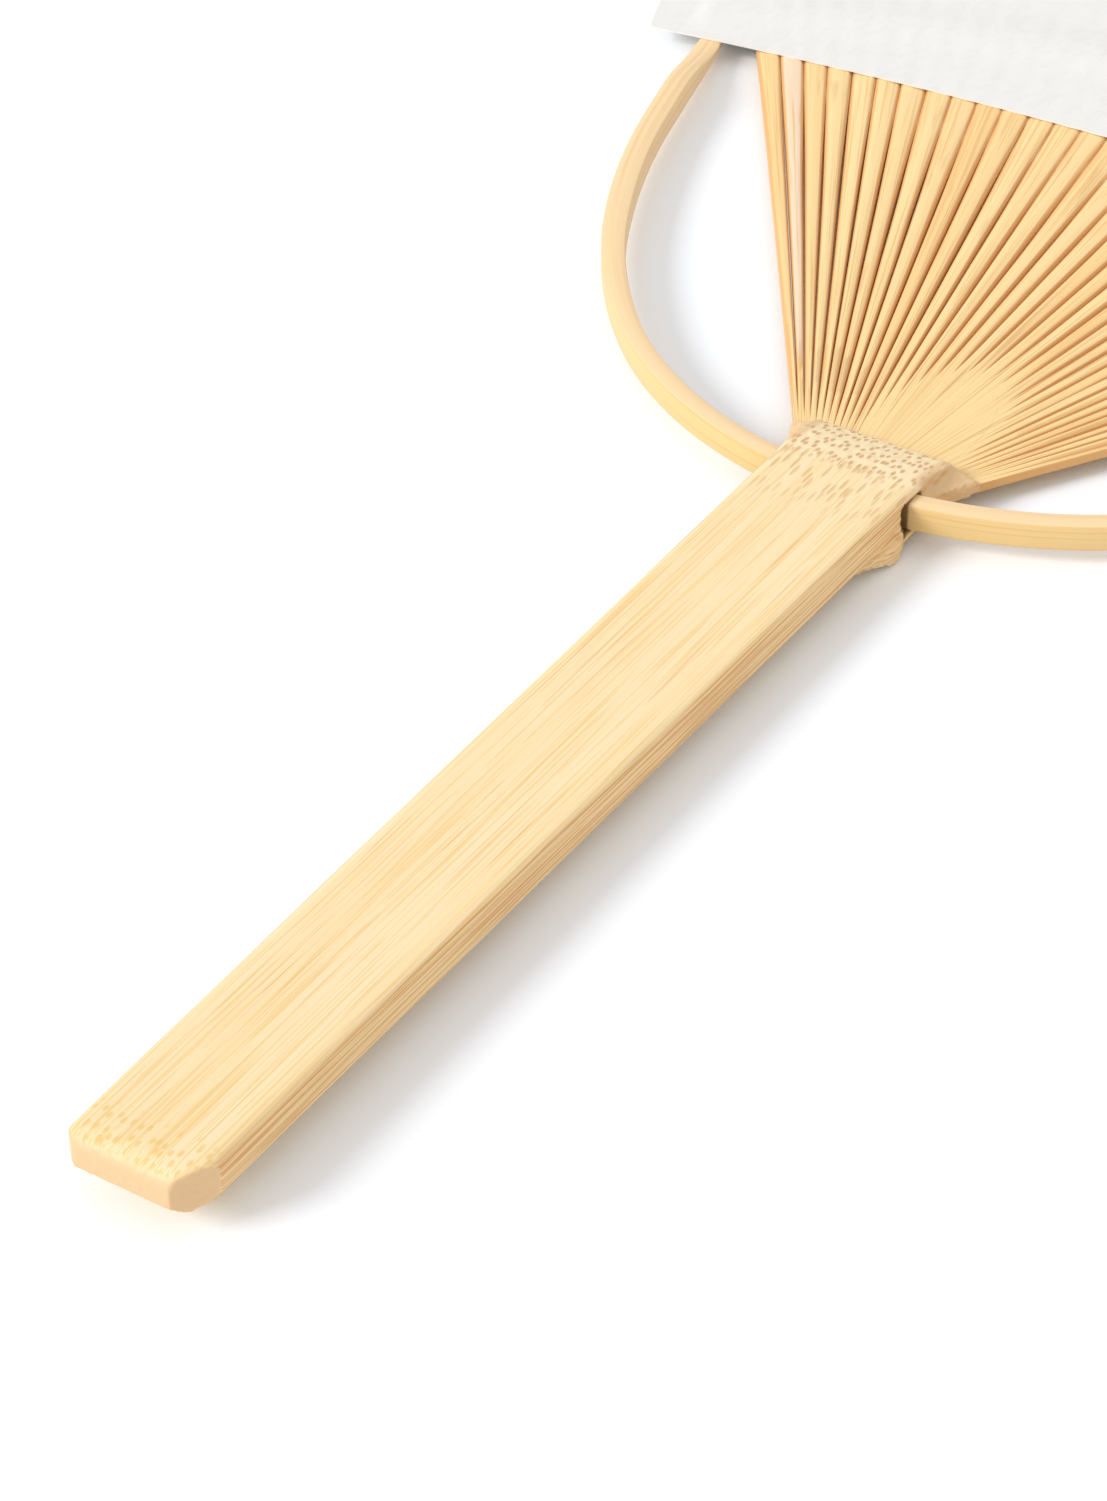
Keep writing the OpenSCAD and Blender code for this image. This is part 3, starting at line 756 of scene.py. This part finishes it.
def makePaper(name, node, side):
    columns, rows = int(2 * leafLook["cornerSlit"] * leafLook["perPitch"]), sum(leafLook["rows"])
    bpy.ops.object.select_all(action="DESELECT")
    bpy.ops.mesh.primitive_grid_add(x_subdivisions=columns, y_subdivisions=rows, size=2)
    sheet = newPiece(name)
    hits = {}
    for vert in sheet.data.vertices:
        k = vert.co.x * leafLook["cornerSlit"]
        slope = k * pitchSlope
        if k not in hits:
            hits[k] = rayHits(slope)
        lowY, threadY, highY = hits[k]
        if side < 0:
            lowY = min(lowY + leafLook["backTrim"], highY)
        y = rowY(round((vert.co.y + 1) / 2 * rows), lowY, threadY, highY)
        x = slope * (y + fan["spreadBack"])
        z = paperRoom(x, y, side)
        if abs(k) < fan["ribCount"] / 2:
            fromRim = fan["leafRadius"] - math.hypot(x, y - leafMiddle)
            between = 0.5 + 0.5 * math.cos(2 * math.pi * (k + 0.5))
            z -= leafLook["sag"] * between * smoothStep(fromRim, *leafLook["sagFrom"])
        fromThread = abs(math.hypot(x, y - threadCentre) - fan["threadRadius"])
        pastTie = 1 - smoothStep(abs(x) - tieX(y), *leafLook["beadPastTie"])
        z += leafLook["bead"] * (1 - smoothStep(fromThread, *leafLook["beadFlank"])) * pastTie
        vert.co = atSlot(x, y, ribMiddle + side * z)
    recalcNormals(sheet)
    if sum(face.normal.z for face in sheet.data.polygons) * side < 0:
        sheet.data.flip_normals()
    applyModifier(sheet, "SOLIDIFY", thickness=leafLook["paper"] * mm, offset=1)
    sheet.data.materials.append(leafPaper)
    putDown(sheet, node, 40)


# inward holds how far each line of the strip lies from its fold, as shares of the width
bindingLook = {
    "width": 3.5, "paper": 0.18, "steps": 260, "pastRim": 0.06, "overPaper": 0.02, "foldOut": 0.02,
    "aboveEdge": 10, "inward": (0, 0.25, 0.6, 1), "angleStep": 0.002,
}


# the lowest angle round the rim that the binding reaches
def bindingStart():
    angle = 0.0
    radius = fan["leafRadius"]
    while leafMiddle + radius * math.sin(angle) > edgeY(radius * math.cos(angle), bindingLook["aboveEdge"]):
        angle -= bindingLook["angleStep"]
    return angle


# the strip folded over the rim: across it, from the back lip round to the front lip
def makeBinding():
    start = bindingStart()
    lines = len(bindingLook["inward"])
    bpy.ops.object.select_all(action="DESELECT")
    bpy.ops.mesh.primitive_grid_add(x_subdivisions=bindingLook["steps"], y_subdivisions=2 * lines, size=2)
    strip = newPiece("rimBinding")
    rim = fan["leafRadius"] + bindingLook["pastRim"]
    inward = [-bindingLook["foldOut"]] + [share * bindingLook["width"] for share in bindingLook["inward"]]
    overPaper = leafLook["paper"] + bindingLook["overPaper"]
    for vert in strip.data.vertices:
        angle = math.pi / 2 + vert.co.x * (math.pi / 2 - start)
        fold = round((vert.co.y + 1) * lines) - lines  # below 0 on the back, 0 on the rim, above 0 on the front
        radius = rim - inward[abs(fold)]
        x, y = radius * math.cos(angle), leafMiddle + radius * math.sin(angle)
        front, back = paperRoom(x, y, 1) + overPaper, paperRoom(x, y, -1) + overPaper
        z = front if fold > 0 else -back if fold < 0 else (front - back) / 2
        vert.co = atSlot(x, y, ribMiddle + z)
    recalcNormals(strip)
    outer = max(strip.data.polygons, key=lambda face: face.center.z)
    if outer.normal.z < 0:
        strip.data.flip_normals()
    applyModifier(strip, "SOLIDIFY", thickness=bindingLook["paper"] * mm, offset=1)
    strip.data.materials.append(leafPaper)
    putDown(strip, "edge_binding", 40)


threadLook = {
    "turns": 2, "perTurn": 8, "firstAngle": 135, "pitch": 0.5, "room": 0.04, "besideRib": 1.55, "sides": 3,
}


# two turns round the right end of the bow
def tieStops(high):
    half = bowLook["tipWidth"] / 2 + threadLook["room"] + fan["threadThickness"] / 2
    middleX, middleY = bowLook["tie"]
    stops = []
    for step in range(threadLook["perTurn"] * threadLook["turns"] + 1):
        turn = math.radians(threadLook["firstAngle"] + 360 / threadLook["perTurn"] * step)
        along = (step / threadLook["perTurn"] - threadLook["turns"] / 2) * threadLook["pitch"]
        across, up = math.cos(turn), math.sin(turn)
        grow = 1 / max(abs(across), abs(up))
        x = middleX + along * math.cos(endHeading) + across * grow * half * math.sin(endHeading)
        y = middleY + along * math.sin(endHeading) - across * grow * half * math.cos(endHeading)
        stops.append((x, y, ribMiddle - up * grow * high))
    return stops


# woven over and under the ribs, and wound on both ends of the bow
def makeThread():
    thick = fan["threadThickness"]
    high = ribThick / 2 + threadLook["room"] + thick / 2
    woven = []
    for index in range(fan["ribCount"]):
        slope = ribSlope(index)
        z = ribMiddle + (high if index % 2 == 0 else -high)
        for across in (-threadLook["besideRib"], 0, threadLook["besideRib"]):
            y = lineHit(slope, across, threadCentre, fan["threadRadius"])
            woven.append((slope * (y + fan["spreadBack"]) + across, y, z))
    right = tieStops(high)
    left = [(-x, y, 2 * ribMiddle - z) for x, y, z in reversed(right)]
    stops = left + woven + right
    line = bpy.data.curves.new("weavingThread", "CURVE")
    line.dimensions = "3D"
    line.bevel_depth = thick / 2 * mm
    line.bevel_resolution = threadLook["sides"]
    line.use_fill_caps = True
    spline = line.splines.new("POLY")
    spline.points.add(len(stops) - 1)
    for point, (x, y, z) in zip(spline.points, stops):
        point.co = (*atSlot(x, y, z), 1)
    piece = bpy.data.objects.new("weavingThread", line)
    bpy.context.collection.objects.link(piece)
    pickOnly(piece)
    bpy.ops.object.convert(target="MESH")
    piece = newPiece("weavingThread")
    piece.data.materials.append(threadCotton)
    putDown(piece, "weaving_thread", 180)


makePaper("frontPaper", "front_paper", 1)
makePaper("backPaper", "back_paper", -1)
print("papers laid")
makeBinding()
makeThread()
print("binding and thread done")

studio = {
    "floorSize": 4.0, "floorTone": 0.9, "floorDrop": 0.1, "ridgeY": -4.2, "leafDrop": 1.9,
    "seenTone": (1.03, 1.063, 1.11, 1), "worldLight": 0.72, "sunLight": 1.83, "sunSize": 22,
    "sunFrom": (-0.86, -1.12, 0.93),
}


# rays on which the floor and the world show as the white background
def seenRays(tree):
    rays = put(tree, "ShaderNodeLightPath").outputs
    mirrored = calc(tree, "MAXIMUM", rays["Is Glossy Ray"], rays["Is Transmission Ray"])
    return calc(tree, "MAXIMUM", rays["Is Camera Ray"], mirrored)


def makeFloor():
    bpy.ops.object.select_all(action="DESELECT")
    bpy.ops.mesh.primitive_plane_add(size=studio["floorSize"])
    floor = newPiece("studioFloor")
    # the fan lies on its node ridge and on the top of the rim, so the floor slopes a little against it
    slope = math.atan(studio["leafDrop"] / (fanTop - studio["ridgeY"]))
    turn = Matrix.Rotation(slope, 4, "X")
    floor.data.transform(Matrix.Translation(atSlot(0, studio["ridgeY"], 0)) @ turn)
    floor.data.transform(Matrix.Translation((0, 0, -studio["floorDrop"] * mm)))
    material, tree, shader = startMaterial("studioWhite", 1.0, 0.0)
    plain = [studio["floorTone"]] * 3 + [1]
    diffuse = put(tree, "ShaderNodeBsdfDiffuse", {"Color": blend(tree, seenRays(tree), plain, studio["seenTone"])})
    tree.nodes.remove(shader)
    tree.links.new(diffuse.outputs[0], tree.nodes["Material Output"].inputs["Surface"])
    floor.data.materials.append(material)


def makeLight():
    world = bpy.data.worlds.new("studioWorld")
    world.use_nodes = True
    tree = world.node_tree
    background = tree.nodes["Background"]
    background.inputs["Color"].default_value = (1, 1, 1, 1)
    light = calc(tree, "MAXIMUM", seenRays(tree), studio["worldLight"])  # white where it shows past the floor
    tree.links.new(light, background.inputs["Strength"])
    bpy.context.scene.world = world
    bpy.ops.object.light_add(type="SUN")
    sun = newPiece("studioSun")
    sun.data.energy = studio["sunLight"]
    sun.data.angle = math.radians(studio["sunSize"])
    sun.rotation_mode = "QUATERNION"
    sun.rotation_quaternion = Vector(studio["sunFrom"]).to_track_quat("Z", "Y")


# from the photograph: where the lens stood, in millimetres from the slot, how it was turned, and its length
photoView = {
    "from": (201.42, -376.25, 294.04), "right": (0.84235, 0.53889, -0.00701),
    "up": (-0.32538, 0.51888, 0.79050), "back": (0.42963, -0.66360, 0.61242), "lens": 100.73, "sensor": 36,
}


def makeCamera():
    bpy.ops.object.camera_add()
    camera = bpy.context.object
    camera.name = "photoCamera"
    turn = Matrix((photoView["right"], photoView["up"], photoView["back"])).transposed()
    camera.matrix_world = Matrix.Translation(atSlot(*photoView["from"])) @ turn.to_4x4()
    camera.data.sensor_width = photoView["sensor"]
    camera.data.sensor_fit = "AUTO"
    camera.data.lens = photoView["lens"]
    camera.data.clip_start, camera.data.clip_end = 0.01, 50
    bpy.context.scene.camera = camera


makeFloor()
makeLight()
makeCamera()
bpy.context.scene.view_settings.view_transform = "Standard"
print("studio set")

bpy.context.view_layer.update()
